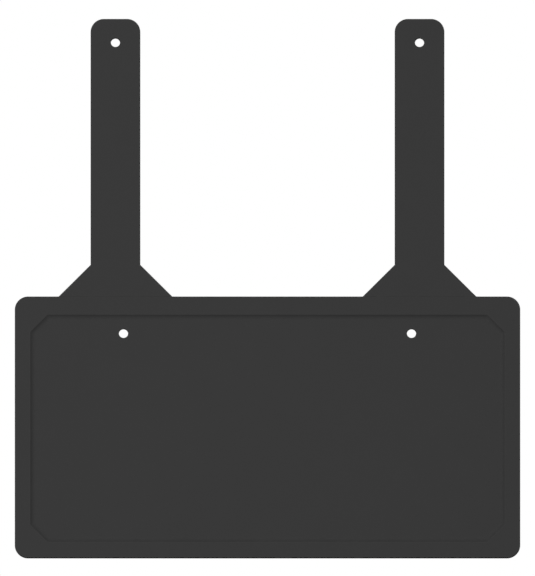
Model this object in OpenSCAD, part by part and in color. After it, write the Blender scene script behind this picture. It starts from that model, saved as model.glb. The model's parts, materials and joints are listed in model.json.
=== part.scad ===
// Strap-hung rubber mud flap: a laminated panel carried by two laminated straps.
// Millimetres. +X is to the right, +Z is up and -Y is the front.
// The origin is midway between the two strap holes, on the straps' back face.

/* [Panel] */
// Width of the panel
panel_w = 610; // [570:1:700]
// Height of the panel
panel_h = 317.5; // [240:0.5:400]
// Radius of the panel's four corners
panel_r = 16; // [10:0.5:30]
// Thickness of the panel and of the straps
flap_t = 9.5; // [9:0.1:12]

/* [Straps] */
// Width of a strap
strap_w = 60; // [54:0.5:70]
// Distance between the two straps' centre lines
strap_spacing = 367; // [350:0.5:400]
// Length of a strap from its top end to the panel's top edge
strap_len = 337.5; // [200:0.5:450]
// Radius of the two corners at a strap's top end
strap_r = 16; // [10:0.5:25]
// Width and height of the 45 degree flare on each side of a strap's foot
flare = 38.5; // [20:0.5:45]

/* [Holes] */
// Diameter of every bolt hole
hole_d = 11.1; // [6:0.1:14]
// Distance of a strap hole below the strap's top end
strap_hole_drop = 28.5; // [20:0.5:40]
// Distance between the two panel holes
panel_hole_spacing = 347.6; // [330:0.1:365]
// Distance of the panel holes below the panel's top edge
panel_hole_drop = 44.5; // [40:0.5:50]

/* [Recess] */
// Width of the raised rim at the panel's sides
rim_side = 18.6; // [12:0.1:30]
// Width of the raised rim at the panel's top
rim_top = 22; // [12:0.1:30]
// Width of the raised rim at the panel's bottom
rim_bottom = 19; // [12:0.1:30]
// Size of the recess's 45 degree cut corners
recess_cut = 21; // [10:0.5:40]
// Depth of the recess
recess_depth = 2.5; // [1:0.1:3]
// Width of the recess's sloped wall
recess_wall = 3.4; // [1:0.1:5]

/* [Layers] */
// Thickness of the panel's back sheet
panel_back_t = 3.5; // [3.3:0.1:4]
// Thickness of a strap's back rubber, with the ply let into it
strap_back_t = 3; // [2:0.1:3]
// Thickness of a fabric ply
ply_t = 1; // [0.6:0.1:1.4]
// Distance of a ply's edge inside the rubber's edge
ply_inset = 4; // [2:0.5:8]
// Length of a strap's tail behind the panel
tail_len = 80; // [70:1:120]
// Size of the cut lower corners of a strap's tail
tail_cut = 25; // [10:1:40]

/* [Hidden] */

$fn = 64;
past = 1;                                   // how far a cutting shape runs past what it cuts
skin = 0.01;                                // thickness of the slice at the recess's floor
rubber = [0.22, 0.22, 0.22];
fabric = [0.62, 0.58, 0.50];
gum = [0.10, 0.10, 0.10];

left = -1;
right = 1;
strap_x = strap_spacing / 2;
hole_x = panel_hole_spacing / 2;
foot_half = strap_w / 2 + flare;

strap_top = strap_hole_drop;                // heights are measured from the strap holes
panel_top = strap_top - strap_len;
panel_bottom = panel_top - panel_h;
tail_end = panel_top - tail_len;
panel_hole_z = panel_top - panel_hole_drop;

front = -flap_t;                            // planes between the layers
recess_floor = front + recess_depth;
panel_split = -panel_back_t;
panel_ply_front = panel_split - ply_t;
strap_split = -strap_back_t;
strap_ply_back = strap_split + ply_t;

// An outline in the XZ plane, given thickness from y_front to y_back
module layer(y_front, y_back) {
    translate([0, y_back, 0])
        rotate([90, 0, 0])
            linear_extrude(y_back - y_front)
                children();
}

// Places a strap's own shape on the left or on the right
module at_strap(side) {
    translate([side * strap_x, 0, 0])
        children();
}

module bolt_hole(x, z) {
    translate([x, z])
        circle(d = hole_d);
}

// The panel's outline, drawn smaller all round by inset
module panel_outline(inset = 0) {
    half = panel_w / 2 - inset;
    low = panel_bottom + inset;
    high = panel_top - inset;
    r = panel_r - inset;
    translate([-half, low + r])
        square([2 * half, high - low - 2 * r]);
    translate([-half + r, low])
        square([2 * (half - r), high - low]);
    for (x = [-half + r, half - r])
        for (z = [low + r, high - r])
            translate([x, z])
                circle(r = r);
}

// The recess's outline at the rim, drawn smaller all round by inset
module recess_outline(inset = 0) {
    half = panel_w / 2 - rim_side - inset;
    low = panel_bottom + rim_bottom + inset;
    high = panel_top - rim_top - inset;
    cut = recess_cut - inset * (2 - sqrt(2));
    polygon([
        [-half + cut, low], [half - cut, low], [half, low + cut], [half, high - cut],
        [half - cut, high], [-half + cut, high], [-half, high - cut], [-half, low + cut]
    ]);
}

// A strap with its flared foot and its tail, drawn smaller all round by inset
module strap_outline(inset = 0) {
    half = strap_w / 2 - inset;
    foot = foot_half - inset;
    low = tail_end + inset;
    high = strap_top - inset;
    r = strap_r - inset;
    cut = tail_cut - inset * (2 - sqrt(2));
    shoulder = panel_top - inset * (sqrt(2) - 1);
    knee = shoulder + flare;
    polygon([
        [-foot + cut, low], [foot - cut, low], [foot, low + cut], [foot, shoulder],
        [half, knee], [half, high - r], [half - r, high],
        [-half + r, high], [-half, high - r], [-half, knee],
        [-foot, shoulder], [-foot, low + cut]
    ]);
    for (x = [-half + r, half - r])
        translate([x, high - r])
            circle(r = r);
}

// The part of a strap's outline that lies behind the panel, up to a height top
module tail_outline(top = panel_top) {
    half = foot_half;
    polygon([
        [-half + tail_cut, tail_end], [half - tail_cut, tail_end], [half, tail_end + tail_cut],
        [half, top], [-half, top], [-half, tail_end + tail_cut]
    ]);
}

module panel_holes() {
    for (side = [left, right])
        bolt_hole(side * hole_x, panel_hole_z);
}

// The panel hole that passes through a strap's tail, in the strap's own frame
module tail_hole(side) {
    bolt_hole(side * (hole_x - strap_x), panel_hole_z);
}

module strap_hole() {
    bolt_hole(0, 0);
}

// Front moulding: raised rim, recess with sloped walls, and a bed behind for the ply
module panel_face() {
    color(rubber) difference() {
        layer(front, panel_split) difference() {
            panel_outline();
            panel_holes();
        }
        hull() {
            layer(front - past, front) recess_outline();
            layer(recess_floor - skin, recess_floor) recess_outline(recess_wall);
        }
        layer(panel_ply_front, panel_split + past) panel_outline(ply_inset);
    }
}

// Fabric ply, let into the back of the front moulding
module panel_ply() {
    color(fabric) layer(panel_ply_front, panel_split) difference() {
        panel_outline(ply_inset);
        panel_holes();
    }
}

// Back sheet with a notch, open at the top, for each strap's tail
module panel_back() {
    color(rubber) difference() {
        layer(panel_split, 0) panel_outline();
        for (side = [left, right])
            at_strap(side) layer(panel_split - past, past) tail_outline(panel_top + past);
    }
}

// Front rubber of a strap, which ends on the panel's top edge
module strap_face(side) {
    color(rubber) at_strap(side) layer(front, strap_split) difference() {
        strap_outline();
        tail_outline();
        strap_hole();
    }
}

// Fabric ply of a strap, from its top end to the end of its tail
module strap_ply(side) {
    color(fabric) at_strap(side) layer(strap_split, strap_ply_back) difference() {
        strap_outline(ply_inset);
        strap_hole();
        tail_hole(side);
    }
}

// Back rubber of a strap and its tail, with a bed in front for the ply
module strap_back(side) {
    color(rubber) at_strap(side) difference() {
        layer(strap_split, 0) difference() {
            strap_outline();
            strap_hole();
            tail_hole(side);
        }
        layer(strap_split - past, strap_ply_back) strap_outline(ply_inset);
    }
}

// Bonding layer between a strap's tail and the panel
module tie_gum(side) {
    color(gum) at_strap(side) layer(panel_split, strap_split) difference() {
        tail_outline();
        tail_hole(side);
    }
}

panel_face();
panel_ply();
panel_back();
strap_face(left);  // left_strap_face
strap_ply(left);  // left_strap_ply
strap_back(left);  // left_strap_back
tie_gum(left);  // left_tie_gum
strap_face(right);  // right_strap_face
strap_ply(right);  // right_strap_ply
strap_back(right);  // right_strap_back
tie_gum(right);  // right_tie_gum
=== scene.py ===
"""The looks of a strap-hung rubber mud flap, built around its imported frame.

Metres, in the frame's own axes: +X right, +Z up, -Y front.
"""
import json
import math

import bmesh
import bpy
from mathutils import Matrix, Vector


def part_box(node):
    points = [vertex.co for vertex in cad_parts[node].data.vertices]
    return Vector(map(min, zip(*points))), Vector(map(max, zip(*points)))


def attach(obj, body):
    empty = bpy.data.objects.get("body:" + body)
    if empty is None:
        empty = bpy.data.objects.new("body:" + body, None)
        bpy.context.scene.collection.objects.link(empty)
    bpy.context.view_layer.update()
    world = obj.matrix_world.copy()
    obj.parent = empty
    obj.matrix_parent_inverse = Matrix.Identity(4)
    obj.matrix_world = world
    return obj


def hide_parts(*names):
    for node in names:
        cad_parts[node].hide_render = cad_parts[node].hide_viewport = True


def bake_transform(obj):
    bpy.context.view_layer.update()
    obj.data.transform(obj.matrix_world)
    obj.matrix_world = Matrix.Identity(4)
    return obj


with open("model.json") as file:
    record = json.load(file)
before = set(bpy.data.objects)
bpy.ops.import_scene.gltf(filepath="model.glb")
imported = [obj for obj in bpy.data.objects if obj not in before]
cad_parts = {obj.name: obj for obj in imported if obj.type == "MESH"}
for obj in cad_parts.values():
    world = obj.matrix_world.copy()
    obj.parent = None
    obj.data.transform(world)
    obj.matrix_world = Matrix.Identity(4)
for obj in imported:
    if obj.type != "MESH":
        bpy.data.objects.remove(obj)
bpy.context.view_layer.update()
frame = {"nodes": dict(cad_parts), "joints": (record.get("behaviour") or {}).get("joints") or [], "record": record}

MM = 0.001

# ---------------------------------------------------------------- sizes from the frame
mounts = {m["name"]: m for m in frame["record"]["mounts"]}
panel_low, panel_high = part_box("panel_face")
strap_low, strap_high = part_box("left_strap_face")
strap_ply_low, strap_ply_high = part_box("left_strap_ply")

front_y = panel_low.y
panel_split_y = panel_high.y
panel_bed_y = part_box("panel_ply")[0].y
strap_split_y = strap_high.y
strap_bed_y = strap_ply_high.y
back_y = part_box("panel_back")[1].y

panel_half = panel_high.x
panel_top = panel_high.z
panel_bottom = panel_low.z
strap_top = strap_high.z
tail_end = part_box("left_strap_back")[0].z
foot_half = (strap_high.x - strap_low.x) / 2
strap_x = -(strap_high.x + strap_low.x) / 2
ply_inset = strap_high.x - strap_ply_high.x

hole_r = mounts["hanger_bolts"]["dims"]["hole_r_mm"] * MM
panel_hole_x = mounts["panel_bolts"]["dims"]["spacing_x_mm"] * MM / 2
panel_hole_z = mounts["panel_bolts"]["pos_m"][2]

# ---------------------------------------------------------------- sizes the frame doesn't state
STRAP_HALF = 30 * MM
PANEL_R = 16 * MM
STRAP_R = 16 * MM
TAIL_CUT = 25 * MM
RIM_SIDE = 18.6 * MM
RIM_TOP = 22 * MM
RIM_BOTTOM = 19 * MM
RECESS_CUT = 21 * MM
RECESS_DEPTH = 2.5 * MM
RECESS_WALL = 3.4 * MM

# ---------------------------------------------------------------- how the edges are moulded
SOFT = 0.6 * MM          # radius of a free moulded edge
TIGHT = 0.3 * MM         # radius of an edge that another piece meets in front
SEAM = 0.5 * MM          # radius of an edge along the seam round a strap's tail
PARTING = 0.12 * MM      # radius of an edge on a parting line
HOLE_EDGE = 0.35 * MM    # radius of a hole's rim
RIM_EDGE = 0.5 * MM      # radius where the rim turns into the recess's wall
FLOOR_EDGE = 9 * MM      # radius of the cove where the wall turns into the recess's floor
SUPPORT = 0.5 * MM       # width of the flat strip beside a rounded edge
NEAR = 0.8 * MM          # distance from a sharp corner to the points that hold it
STEP = 5 * MM            # spacing of points along a straight edge
ROUND = 4                # steps round an edge
COVE = 10                # steps round the recess's cove
ARC = 24                 # steps round an outline's corner
HOLE_STEPS = 40

# ---------------------------------------------------------------- the strap's flex zone
hinge = frame["joints"][0]
FLEX_HALF = 36 * MM
flex_start = hinge["pos_m"][2] + FLEX_HALF
flex_end = hinge["pos_m"][2] - FLEX_HALF
FLEX_ROWS = 24           # rows of faces across the zone
SNAP = 0.01 * MM         # a row passes through a point this near to it


# ================================================================ outlines
def corner(x, z, radius=0.0, edge=SOFT):
    """A corner of an outline, which runs anticlockwise seen from the front."""
    return {"x": x, "z": z, "r": radius, "e": edge}


def flat_vector(a, b):
    d = Vector((b["x"] - a["x"], b["z"] - a["z"]))
    return d.normalized()


def offset_corners(corners, inset):
    """Each corner moved inward by inset(edge radius): (point, direction in, direction out, radius)."""
    moved = []
    for i, c in enumerate(corners):
        d_in = flat_vector(corners[i - 1], c)
        d_out = flat_vector(c, corners[(i + 1) % len(corners)])
        n_in = Vector((d_in.y, -d_in.x))
        n_out = Vector((d_out.y, -d_out.x))
        step = inset(c["e"])
        point = Vector((c["x"], c["z"])) - (n_in + n_out) / (1 + n_in.dot(n_out)) * step
        moved.append((point, d_in, d_out, c["r"] - step if c["r"] else 0.0))
    return moved


def corner_points(point, d_in, d_out, radius):
    """The points that make one corner: an arc, or a sharp corner held by a point on each side."""
    turn = d_in.angle(d_out)
    if radius > 0:
        n_in = Vector((d_in.y, -d_in.x))
        n_out = Vector((d_out.y, -d_out.x))
        centre = point - d_in * radius * math.tan(turn / 2) - n_in * radius
        points = []
        for k in range(ARC + 1):
            a = k / ARC * turn
            spoke = (n_in * math.sin(turn - a) + n_out * math.sin(a)) / math.sin(turn)
            points.append(centre + radius * spoke)
        return points
    if turn < 1e-4:
        return [point]
    return [point - d_in * NEAR, point, point + d_out * NEAR]


def ring(corners, y, inset=lambda e: 0.0, drop=lambda e: 0.0):
    """The outline as a closed loop of 3-D points.
    At each corner it is moved inward by inset(edge radius) and along Y by drop(edge radius)."""
    moved = offset_corners(corners, inset)
    groups = [corner_points(*m) for m in moved]
    points = []
    for i, group in enumerate(groups):
        j = (i + 1) % len(corners)
        here, there = drop(corners[i]["e"]), drop(corners[j]["e"])
        points += [Vector((p.x, y + here, p.y)) for p in group]
        a, b = group[-1], groups[j][0]
        span = Vector((corners[j]["x"] - corners[i]["x"], corners[j]["z"] - corners[i]["z"])).length
        count = max(1, math.ceil(span / STEP))
        for k in range(1, count):
            t = k / count
            p = a.lerp(b, t)
            points.append(Vector((p.x, y + here + (there - here) * t, p.y)))
    return points


def circle(x, z, radius, y):
    """A hole's ring."""
    return [
        Vector((x + radius * math.cos(a), y, z + radius * math.sin(a)))
        for a in (2 * math.pi * k / HOLE_STEPS for k in range(HOLE_STEPS))
    ]


def edge_steps(radius):
    """(inset, drop) pairs from a flat face round an edge of that radius to the wall."""
    steps = [(radius + SUPPORT, 0.0)]
    for k in range(ROUND + 1):
        a = math.pi / 2 * k / ROUND
        steps.append((radius * (1 - math.sin(a)), radius * (1 - math.cos(a))))
    return steps


def edge_rings(corners, y, into, radius=None):
    """Rings from the flat face at y round the outline's edge. into is the Y direction into the piece.
    Each corner's own edge radius holds unless one radius is given."""
    rings = []
    for k in range(ROUND + 2):
        def inset(e, k=k):
            return edge_steps(e if radius is None else radius)[k][0]

        def drop(e, k=k):
            return into * edge_steps(e if radius is None else radius)[k][1]
        rings.append(ring(corners, y, inset, drop))
    return rings


def hole_rings(x, z, y, into, radius=HOLE_EDGE):
    """Rings from the flat face at y round a hole's rim."""
    return [circle(x, z, hole_r + inset, y + into * drop) for inset, drop in edge_steps(radius)]


# ================================================================ meshes
class Shell:
    """A closed mesh made of rings, the walls between them and the flat faces that close them."""

    def __init__(self, name):
        self.name = name
        self.bm = bmesh.new()
        self.edge = self.bm.verts.layers.float.new("edge")

    def add(self, points, edge=0.0):
        verts = [self.bm.verts.new(p) for p in points]
        for v in verts:
            v[self.edge] = edge
        return verts

    def wall(self, a, b):
        """Quads between two rings of the same number of vertices."""
        n = len(a)
        for i in range(n):
            j = (i + 1) % n
            self.bm.faces.new((a[i], a[j], b[j], b[i]))

    def rounded(self, rings, worn=True):
        """A run of rings round an edge. If worn, the rings between its ends are marked as edge."""
        made = []
        for k, points in enumerate(rings):
            between = 0 < k < len(rings) - 1
            made.append(self.add(points, 1.0 if worn and between else 0.0))
        for a, b in zip(made, made[1:]):
            self.wall(a, b)
        return made[0], made[-1]

    def face(self, outer, *inner):
        """A flat face at one Y, with the inner rings left open."""
        edges = []
        for loop in (outer, *inner):
            for pair in zip(loop, loop[1:] + loop[:1]):
                edges.append(self.bm.edges.get(pair) or self.bm.edges.new(pair))
        bmesh.ops.triangle_fill(self.bm, edges=edges, use_beauty=True, normal=(0, 1, 0))

    def cut_rows(self):
        """Rows of edges across a strap's flex zone, evenly spaced."""
        for k in range(FLEX_ROWS + 1):
            bmesh.ops.bisect_plane(
                self.bm,
                geom=[*self.bm.verts, *self.bm.edges, *self.bm.faces],
                dist=SNAP,
                plane_co=(0, 0, flex_start + (flex_end - flex_start) * k / FLEX_ROWS),
                plane_no=(0, 0, 1),
            )

    def finish(self, material):
        """The mesh as a Blender object. For the material it keeps where each point is at rest, and how
        squarely the surface there faces the front or the back."""
        bmesh.ops.recalc_face_normals(self.bm, faces=self.bm.faces)
        mesh = bpy.data.meshes.new(self.name)
        self.bm.to_mesh(mesh)
        self.bm.free()
        mesh.shade_smooth()
        rest = mesh.attributes.new("rest", "FLOAT_VECTOR", "POINT")
        rest.data.foreach_set("vector", [x for v in mesh.vertices for x in v.co])
        facing = mesh.attributes.new("facing", "FLOAT", "POINT")
        facing.data.foreach_set("value", [abs(v.normal.y) for v in mesh.vertices])
        mesh.materials.append(material)
        obj = bpy.data.objects.new(self.name, mesh)
        bpy.context.scene.collection.objects.link(obj)
        weighted = obj.modifiers.new("flat_shading", "WEIGHTED_NORMAL")
        weighted.weight = 100
        weighted.keep_sharp = True
        return obj


# ================================================================ the pieces' outlines
TAPER = 4 * MM           # length over which a tight edge opens into a soft one


def panel_corners():
    """The panel's outline. Its top edge is tight where a strap's foot stands on it."""
    corners = [
        corner(-panel_half, panel_bottom, PANEL_R),
        corner(panel_half, panel_bottom, PANEL_R),
        corner(panel_half, panel_top, PANEL_R),
    ]
    for side in (1, -1):
        right, left = side * strap_x + foot_half, side * strap_x - foot_half
        corners += [
            corner(right + TAPER, panel_top),
            corner(right, panel_top, edge=TIGHT),
            corner(left, panel_top, edge=TIGHT),
            corner(left - TAPER, panel_top),
        ]
    return corners + [corner(-panel_half, panel_top, PANEL_R)]


def notched_corners():
    """The back sheet's outline, with a notch for each strap's tail."""
    corners = [
        corner(-panel_half, panel_bottom, PANEL_R),
        corner(panel_half, panel_bottom, PANEL_R),
        corner(panel_half, panel_top, PANEL_R),
    ]
    for side in (1, -1):
        right, left = side * strap_x + foot_half, side * strap_x - foot_half
        corners.append(corner(right + TAPER, panel_top))
        corners += [
            corner(x, z, edge=SEAM)
            for x, z in (
                (right, panel_top),
                (right, tail_end + TAIL_CUT),
                (right - TAIL_CUT, tail_end),
                (left + TAIL_CUT, tail_end),
                (left, tail_end + TAIL_CUT),
                (left, panel_top),
            )
        ]
        corners.append(corner(left - TAPER, panel_top))
    return corners + [corner(-panel_half, panel_top, PANEL_R)]


def recess_corners():
    x = panel_half - RIM_SIDE
    low, high = panel_bottom + RIM_BOTTOM, panel_top - RIM_TOP
    return [
        corner(-x + RECESS_CUT, low),
        corner(x - RECESS_CUT, low),
        corner(x, low + RECESS_CUT),
        corner(x, high - RECESS_CUT),
        corner(x - RECESS_CUT, high),
        corner(-x + RECESS_CUT, high),
        corner(-x, high - RECESS_CUT),
        corner(-x, low + RECESS_CUT),
    ]


def strap_top_corners(x):
    """The part of a strap's outline above its flared foot, from its right side round to its left."""
    knee = panel_top + foot_half - STRAP_HALF
    slope = TAPER / math.sqrt(2)
    return [
        corner(x + foot_half - slope, panel_top + slope),
        corner(x + STRAP_HALF, knee),
        corner(x + STRAP_HALF, strap_top, STRAP_R),
        corner(x - STRAP_HALF, strap_top, STRAP_R),
        corner(x - STRAP_HALF, knee),
        corner(x - foot_half + slope, panel_top + slope),
    ]


def strap_corners(x):
    """A strap's front outline, which ends on the panel's top edge."""
    return [
        corner(x - foot_half, panel_top, edge=TIGHT),
        corner(x + foot_half, panel_top, edge=TIGHT),
        *strap_top_corners(x),
    ]


def strap_and_tail_corners(x):
    """A strap's outline with its tail behind the panel."""
    right, left = x + foot_half, x - foot_half
    return [
        corner(left + TAIL_CUT, tail_end, edge=SEAM),
        corner(right - TAIL_CUT, tail_end, edge=SEAM),
        corner(right, tail_end + TAIL_CUT, edge=SEAM),
        corner(right, panel_top, edge=SEAM),
        *strap_top_corners(x),
        corner(left, panel_top, edge=SEAM),
        corner(left, tail_end + TAIL_CUT, edge=SEAM),
    ]


# ================================================================ the pieces
FRONTWARD, BACKWARD = -1, 1


def bed(shell, corners, rim, y, floor_y, hole_places):
    """A bed for a ply, let into the face inside rim. Returns the rings of its holes."""
    top = shell.add(ring(corners, y, lambda e: ply_inset))
    floor = shell.add(ring(corners, floor_y, lambda e: ply_inset))
    holes = [shell.add(circle(x, z, hole_r, floor_y)) for x, z in hole_places]
    shell.face(rim, top)
    shell.wall(top, floor)
    shell.face(floor, *holes)
    return holes


def recess_rings():
    """Two runs of rings: round the rim's edge to the recess's sloped wall, and from the wall round to
    the floor."""
    slope = math.atan2(RECESS_DEPTH, RECESS_WALL)
    rim_reach = RIM_EDGE * math.tan(slope / 2)
    floor_reach = FLOOR_EDGE * math.tan(slope / 2)
    rim = [(-rim_reach - SUPPORT, 0.0)]
    for k in range(ROUND + 1):
        a = slope * k / ROUND
        rim.append((RIM_EDGE * math.sin(a) - rim_reach, RIM_EDGE * (1 - math.cos(a))))
    cove = []
    for k in range(COVE, -1, -1):
        a = slope * k / COVE
        cove.append((
            RECESS_WALL + floor_reach - FLOOR_EDGE * math.sin(a),
            RECESS_DEPTH - FLOOR_EDGE * (1 - math.cos(a)),
        ))
    cove.append((RECESS_WALL + floor_reach + SUPPORT, RECESS_DEPTH))
    return [
        [ring(recess_corners(), front_y + drop, lambda e, inset=inset: inset) for inset, drop in steps]
        for steps in (rim, cove)
    ]


def panel_face(material):
    """Front moulding: raised rim, recess with sloped walls, and the bed for the ply behind."""
    shell = Shell("panel_front_rubber")
    outline = panel_corners()
    holes = [(-panel_hole_x, panel_hole_z), (panel_hole_x, panel_hole_z)]
    edge, side = shell.rounded(edge_rings(outline, front_y, BACKWARD))
    rim_edge, cove = recess_rings()
    rim, wall_top = shell.rounded(rim_edge)
    wall_foot, floor = shell.rounded(cove, worn=False)
    shell.wall(wall_top, wall_foot)
    shell.face(edge, rim)
    floor_y = front_y + RECESS_DEPTH
    rims = [shell.rounded(hole_rings(x, z, floor_y, BACKWARD)) for x, z in holes]
    shell.face(floor, *(first for first, _ in rims))
    back_edge, back_side = shell.rounded(edge_rings(outline, panel_split_y, FRONTWARD, PARTING))
    shell.wall(side, back_side)
    ends = bed(shell, outline, back_edge, panel_split_y, panel_bed_y, holes)
    for (_, wall), end in zip(rims, ends):
        shell.wall(wall, end)
    return shell.finish(material)


def panel_back(material):
    """Back sheet with its two notches."""
    shell = Shell("panel_back_rubber")
    outline = notched_corners()
    front_edge, front_side = shell.rounded(edge_rings(outline, panel_split_y, BACKWARD, PARTING))
    back_edge, back_side = shell.rounded(edge_rings(outline, back_y, FRONTWARD))
    shell.wall(front_side, back_side)
    shell.face(front_edge)
    shell.face(back_edge)
    return shell.finish(material)


def strap_face(name, x, material):
    """Front rubber of a strap, from its top end to the panel's top edge."""
    shell = Shell(name)
    outline = strap_corners(x)
    edge, side = shell.rounded(edge_rings(outline, front_y, BACKWARD))
    rim, wall = shell.rounded(hole_rings(x, 0, front_y, BACKWARD))
    shell.face(edge, rim)
    back_edge, back_side = shell.rounded(edge_rings(outline, strap_split_y, FRONTWARD, PARTING))
    hole = shell.add(circle(x, 0, hole_r, strap_split_y))
    shell.face(back_edge, hole)
    shell.wall(side, back_side)
    shell.wall(wall, hole)
    shell.cut_rows()
    return shell.finish(material)


def strap_ply(name, x, hole_places, material):
    """Fabric ply of a strap and its tail."""
    shell = Shell(name)
    outline = strap_and_tail_corners(x)
    sides = []
    for y in (strap_split_y, strap_bed_y):
        edge = shell.add(ring(outline, y, lambda e: ply_inset))
        holes = [shell.add(circle(hx, hz, hole_r, y)) for hx, hz in hole_places]
        shell.face(edge, *holes)
        sides.append([edge, *holes])
    for a, b in zip(*sides):
        shell.wall(a, b)
    shell.cut_rows()
    return shell.finish(material)


def strap_back(name, x, hole_places, material):
    """Back rubber of a strap and its tail, with the bed for the ply in front."""
    shell = Shell(name)
    outline = strap_and_tail_corners(x)
    front_edge, front_side = shell.rounded(edge_rings(outline, strap_split_y, BACKWARD, PARTING))
    starts = bed(shell, outline, front_edge, strap_split_y, strap_bed_y, hole_places)
    back_edge, back_side = shell.rounded(edge_rings(outline, back_y, FRONTWARD))
    rims = [shell.rounded(hole_rings(hx, hz, back_y, FRONTWARD)) for hx, hz in hole_places]
    shell.face(back_edge, *(first for first, _ in rims))
    shell.wall(front_side, back_side)
    for start, (_, wall) in zip(starts, rims):
        shell.wall(start, wall)
    shell.cut_rows()
    return shell.finish(material)


# ================================================================ materials
class Look:
    """A node material that is read from a point's place at rest, in metres."""

    def __init__(self, name, carried_over=False):
        self.material = bpy.data.materials.new(name)
        self.material.use_nodes = True
        self.tree = self.material.node_tree
        self.surface = self.tree.nodes["Principled BSDF"]
        if carried_over:
            self.place = self.node("ShaderNodeTexCoord").outputs["Object"]
        else:
            self.place = self.node("ShaderNodeAttribute", attribute_name="rest").outputs["Vector"]

    def attribute(self, name):
        return self.node("ShaderNodeAttribute", attribute_name=name).outputs["Fac"]

    def node(self, kind, inputs=None, **settings):
        made = self.tree.nodes.new(kind)
        for key, value in settings.items():
            setattr(made, key, value)
        for key, value in (inputs or {}).items():
            if isinstance(value, bpy.types.NodeSocket):
                self.tree.links.new(value, made.inputs[key])
            else:
                made.inputs[key].default_value = value
        return made

    def noise(self, size, detail=2.0, roughness=0.5, place=None):
        """Noise with features of that size in metres."""
        return self.node("ShaderNodeTexNoise", {
            "Vector": place or self.place, "Scale": 1 / size, "Detail": detail, "Roughness": roughness,
        }).outputs["Fac"]

    def spread(self, value, low, high, to_low, to_high):
        """value taken from low..high to to_low..to_high, and held at the ends."""
        return self.node("ShaderNodeMapRange", {
            "Value": value, "From Min": low, "From Max": high, "To Min": to_low, "To Max": to_high,
        }).outputs["Result"]

    def math(self, operation, a, b=0.0):
        return self.node("ShaderNodeMath", {0: a, 1: b}, operation=operation).outputs[0]

    def blend(self, share, a, b):
        """Colour a turning into colour b."""
        mix = self.node("ShaderNodeMix", {0: share}, data_type="RGBA")
        for socket, value in ((mix.inputs[6], a), (mix.inputs[7], b)):
            if isinstance(value, bpy.types.NodeSocket):
                self.tree.links.new(value, socket)
            else:
                socket.default_value = (*value, 1)
        return mix.outputs[2]

    def bump(self, height, distance, under=None):
        inputs = {"Height": height, "Distance": distance, "Strength": 1.0}
        if under is not None:
            inputs["Normal"] = under
        return self.node("ShaderNodeBump", inputs).outputs["Normal"]

    def finish(self, colour, roughness, normal):
        for name, socket in (("Base Color", colour), ("Roughness", roughness), ("Normal", normal)):
            self.tree.links.new(socket, self.surface.inputs[name])
        return self.material


GRAIN = 0.5 * MM         # size of the rubber's blasted grain
PEEL = 1.9 * MM          # size of its orange peel
BLOOM = 38 * MM          # size of its cloudy bloom
RUB = 9 * MM             # size of the rubbed spots along an edge
CLOTH_PITCH = 1.3 * MM   # thread spacing of the cloth that the back was cured against
PLY_PITCH = 0.9 * MM     # thread spacing of the plies


def weave(look, pitch):
    """The over-and-under height of a plain weave, from 0 to 1, in the XZ plane."""
    axes = look.node("ShaderNodeSeparateXYZ", {0: look.place})
    waves = []
    for axis in ("X", "Z"):
        turn = look.math("MULTIPLY", axes.outputs[axis], math.pi / pitch)
        waves.append(look.math("SINE", turn))
    return look.spread(look.math("MULTIPLY", *waves), -1.0, 1.0, 0.0, 1.0)


def rubber(name, pits, peaks, worn, cloth_marked=False):
    """Matte moulded rubber: a blasted grain with dark pits, a soft orange peel, a faint cloudy bloom,
    and edges that are rubbed a little lighter and smoother. The back keeps the print of the cloth it
    was cured against."""
    look = Look(name)
    grain = look.noise(GRAIN, 3.0, 0.55)
    peel = look.noise(PEEL, 2.0)
    cloud = look.noise(BLOOM, 5.0, 0.62)
    edge = look.attribute("edge")
    rub = look.math("MULTIPLY", edge, look.spread(look.noise(RUB, 4.0), 0.3, 0.7, 0.04, 0.16))

    light = look.math("ADD", look.math("MULTIPLY", grain, 0.8), look.math("MULTIPLY", cloud, 0.2))
    colour = look.blend(look.spread(light, 0.33, 0.67, 0.0, 1.0), pits, peaks)
    colour = look.blend(rub, colour, worn)
    roughness = look.spread(grain, 0.3, 0.7, 0.88, 0.74)
    roughness = look.math("ADD", roughness, look.spread(cloud, 0.3, 0.7, -0.03, 0.03))
    roughness = look.math("SUBTRACT", roughness, look.math("MULTIPLY", rub, 0.4))

    normal = look.bump(cloud, 0.1 * MM)
    normal = look.bump(peel, 0.09 * MM, normal)
    if cloth_marked:
        flat = look.spread(look.attribute("facing"), 0.8, 1.0, 0.0, 1.0)
        print_depth = look.math("MULTIPLY", flat, weave(look, CLOTH_PITCH))
        normal = look.bump(print_depth, 0.16 * MM, normal)
    normal = look.bump(grain, 0.07 * MM, normal)
    look.surface.inputs["Specular IOR Level"].default_value = 0.3
    return look.finish(colour, roughness, normal)


def dipped_fabric(name, carried_over=False):
    """Woven nylon with the brown dip that bonds it to rubber."""
    look = Look(name, carried_over)
    threads = weave(look, PLY_PITCH)
    fuzz = look.noise(0.3 * MM, 3.0)
    stain = look.spread(look.noise(14 * MM, 4.0), 0.35, 0.7, 0.0, 0.5)
    colour = look.blend(threads, (0.10, 0.065, 0.04), (0.34, 0.25, 0.16))
    colour = look.blend(stain, colour, (0.07, 0.045, 0.03))
    roughness = look.spread(fuzz, 0.3, 0.7, 0.75, 0.92)
    normal = look.bump(fuzz, 0.03 * MM, look.bump(threads, 0.12 * MM))
    return look.finish(colour, roughness, normal)


def tie_gum(name):
    """Soft black bonding rubber."""
    look = Look(name, carried_over=True)
    cloud = look.noise(6 * MM, 4.0)
    share = look.spread(cloud, 0.3, 0.7, 0.0, 1.0)
    colour = look.blend(share, (0.010, 0.010, 0.010), (0.020, 0.019, 0.018))
    roughness = look.spread(cloud, 0.3, 0.7, 0.38, 0.55)
    return look.finish(colour, roughness, look.bump(look.noise(0.8 * MM), 0.02 * MM))


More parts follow.
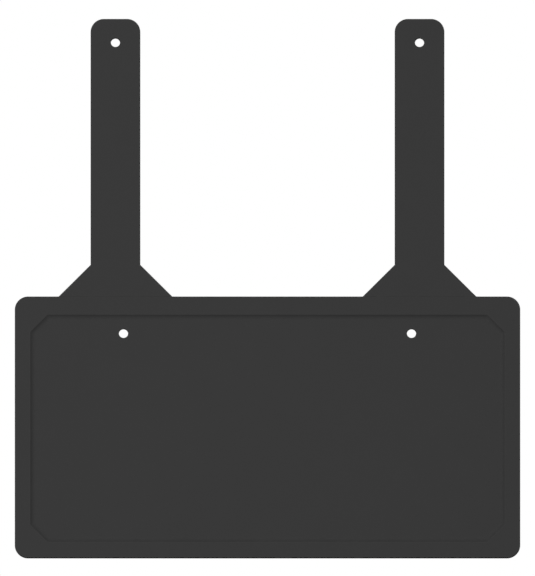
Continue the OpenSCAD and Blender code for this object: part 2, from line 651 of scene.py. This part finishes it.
def floor_paint(name):
    """Pale matt floor paint, slightly cloudy."""
    look = Look(name, carried_over=True)
    cloud = look.noise(0.25, 3.0)
    colour = look.blend(cloud, (0.70, 0.70, 0.69), (0.76, 0.76, 0.75))
    roughness = look.spread(cloud, 0.3, 0.7, 0.6, 0.75)
    return look.finish(colour, roughness, look.bump(look.noise(2 * MM), 0.02 * MM))


# ================================================================ build
front_rubber = rubber(
    "front_rubber", pits=(0.028,) * 3, peaks=(0.047,) * 3, worn=(0.085, 0.083, 0.080)
)
back_rubber = rubber(
    "back_rubber", pits=(0.026,) * 3, peaks=(0.047,) * 3, worn=(0.080, 0.078, 0.075), cloth_marked=True
)
bent_ply = dipped_fabric("bent_ply")
flat_ply = dipped_fabric("flat_ply", carried_over=True)
gum = tie_gum("bonding_gum")

for piece, node, slot in (
    (panel_face(front_rubber), "panel_face", "rubber"),
    (panel_back(back_rubber), "panel_back", "rubber_back"),
):
    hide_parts(node)
    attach(piece, hinge["child"])

for name, side in (("left", -1), ("right", 1)):
    x = side * strap_x
    holes = [(x, 0.0), (side * panel_hole_x, panel_hole_z)]
    front = strap_face(f"{name}_strap_front_rubber", x, front_rubber)
    fabric = strap_ply(f"{name}_strap_fabric", x, holes, bent_ply)
    back = strap_back(f"{name}_strap_back_rubber", x, holes, back_rubber)
    for piece, node, slot in (
        (front, f"{name}_strap_face", "rubber"),
        (fabric, f"{name}_strap_ply", "ply"),
        (back, f"{name}_strap_back", "rubber_back"),
    ):
        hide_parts(node)
        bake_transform(piece)

for node, material in (("panel_ply", flat_ply), ("left_tie_gum", gum), ("right_tie_gum", gum)):
    for material_slot in frame["nodes"][node].material_slots:
        material_slot.material = material

# ================================================================ floor, light and camera
FLOOR_Z = -1.0
FLOOR_SIZE = 30.0
HORIZON_FADE = 0.25      # sine of the angle above and below the horizon in which the surround fades


def add_floor():
    mesh = bpy.data.meshes.new("floor")
    half = FLOOR_SIZE / 2
    corners = [(x * half, y * half, FLOOR_Z) for x, y in ((-1, -1), (1, -1), (1, 1), (-1, 1))]
    mesh.from_pydata(corners, [], [(0, 1, 2, 3)])
    mesh.materials.append(floor_paint("floor_paint"))
    floor = bpy.data.objects.new("floor", mesh)
    bpy.context.scene.collection.objects.link(floor)
    floor.visible_diffuse = False
    floor.visible_glossy = False
    return floor


def add_softbox(name, place, aim, size, power):
    light = bpy.data.lights.new(name, "AREA")
    light.shape = "SQUARE"
    light.size = size
    light.energy = power
    lamp = bpy.data.objects.new(name, light)
    lamp.location = place
    lamp.rotation_euler = (Vector(aim) - Vector(place)).to_track_quat("-Z", "Y").to_euler()
    lamp.visible_camera = False
    bpy.context.scene.collection.objects.link(lamp)
    return lamp


def light_only(lamp, lit):
    """The lamp lights that object and nothing else."""
    receivers = bpy.data.collections.new(f"{lamp.name}_receivers")
    receivers.objects.link(lit)
    lamp.light_linking.receiver_collection = receivers


def add_world(seen, above, below):
    """A white surround. The camera sees it at one strength, and it lights the flap at another, which
    fades from above the horizon to below it."""
    world = bpy.data.worlds.new("studio")
    world.use_nodes = True
    tree = world.node_tree
    tree.nodes.clear()
    output = tree.nodes.new("ShaderNodeOutputWorld")
    mix = tree.nodes.new("ShaderNodeMixShader")
    path = tree.nodes.new("ShaderNodeLightPath")
    place = tree.nodes.new("ShaderNodeTexCoord")
    axes = tree.nodes.new("ShaderNodeSeparateXYZ")
    fade = tree.nodes.new("ShaderNodeMapRange")
    lit = tree.nodes.new("ShaderNodeBackground")
    shown = tree.nodes.new("ShaderNodeBackground")
    fade.inputs["From Min"].default_value = -HORIZON_FADE
    fade.inputs["From Max"].default_value = HORIZON_FADE
    fade.inputs["To Min"].default_value = below
    fade.inputs["To Max"].default_value = above
    lit.inputs["Color"].default_value = (1, 1, 1, 1)
    shown.inputs["Color"].default_value = (1, 1, 1, 1)
    shown.inputs["Strength"].default_value = seen
    tree.links.new(place.outputs["Generated"], axes.inputs[0])
    tree.links.new(axes.outputs["Z"], fade.inputs["Value"])
    tree.links.new(fade.outputs["Result"], lit.inputs["Strength"])
    tree.links.new(path.outputs["Is Camera Ray"], mix.inputs[0])
    tree.links.new(lit.outputs[0], mix.inputs[1])
    tree.links.new(shown.outputs[0], mix.inputs[2])
    tree.links.new(mix.outputs[0], output.inputs["Surface"])
    bpy.context.scene.world = world


VIEW_HEIGHT = 0.6952     # height of the view at the object
VIEW_BELOW = math.radians(7)     # the camera looks up at the flap by this angle
SEAM_BELOW_CENTRE = 10.2 * MM    # the panel's top edge is this far below the view's centre
CAMERA_AWAY = 2.0


def add_camera():
    data = bpy.data.cameras.new("camera")
    data.type = "ORTHO"
    data.ortho_scale = VIEW_HEIGHT
    data.clip_end = 50
    camera = bpy.data.objects.new("camera", data)
    bpy.context.scene.collection.objects.link(camera)
    up = Vector((0, -math.sin(VIEW_BELOW), math.cos(VIEW_BELOW)))
    seam = Vector((0, front_y, panel_top)).dot(up)
    centre = Vector((0, 0, (seam + SEAM_BELOW_CENTRE) / up.z))
    forward = Vector((0, math.cos(VIEW_BELOW), math.sin(VIEW_BELOW)))
    camera.location = centre - forward * CAMERA_AWAY
    camera.rotation_euler = forward.to_track_quat("-Z", "Y").to_euler()
    bpy.context.scene.camera = camera


middle = (0, 0, (strap_top + panel_bottom) / 2)
floor = add_floor()
add_softbox("key_light", (-0.84, -5.0, 0.05), middle, 1.5, 182)
add_softbox("back_light", (0.8, 4.5, 1.5), middle, 2.5, 150)
light_only(add_softbox("floor_light", (0, 0, 6.0), (0, 0, FLOOR_Z), 14.0, 560), floor)
add_world(seen=1.0, above=0.18, below=0.05)
add_camera()
bpy.context.scene.view_settings.view_transform = "Standard"
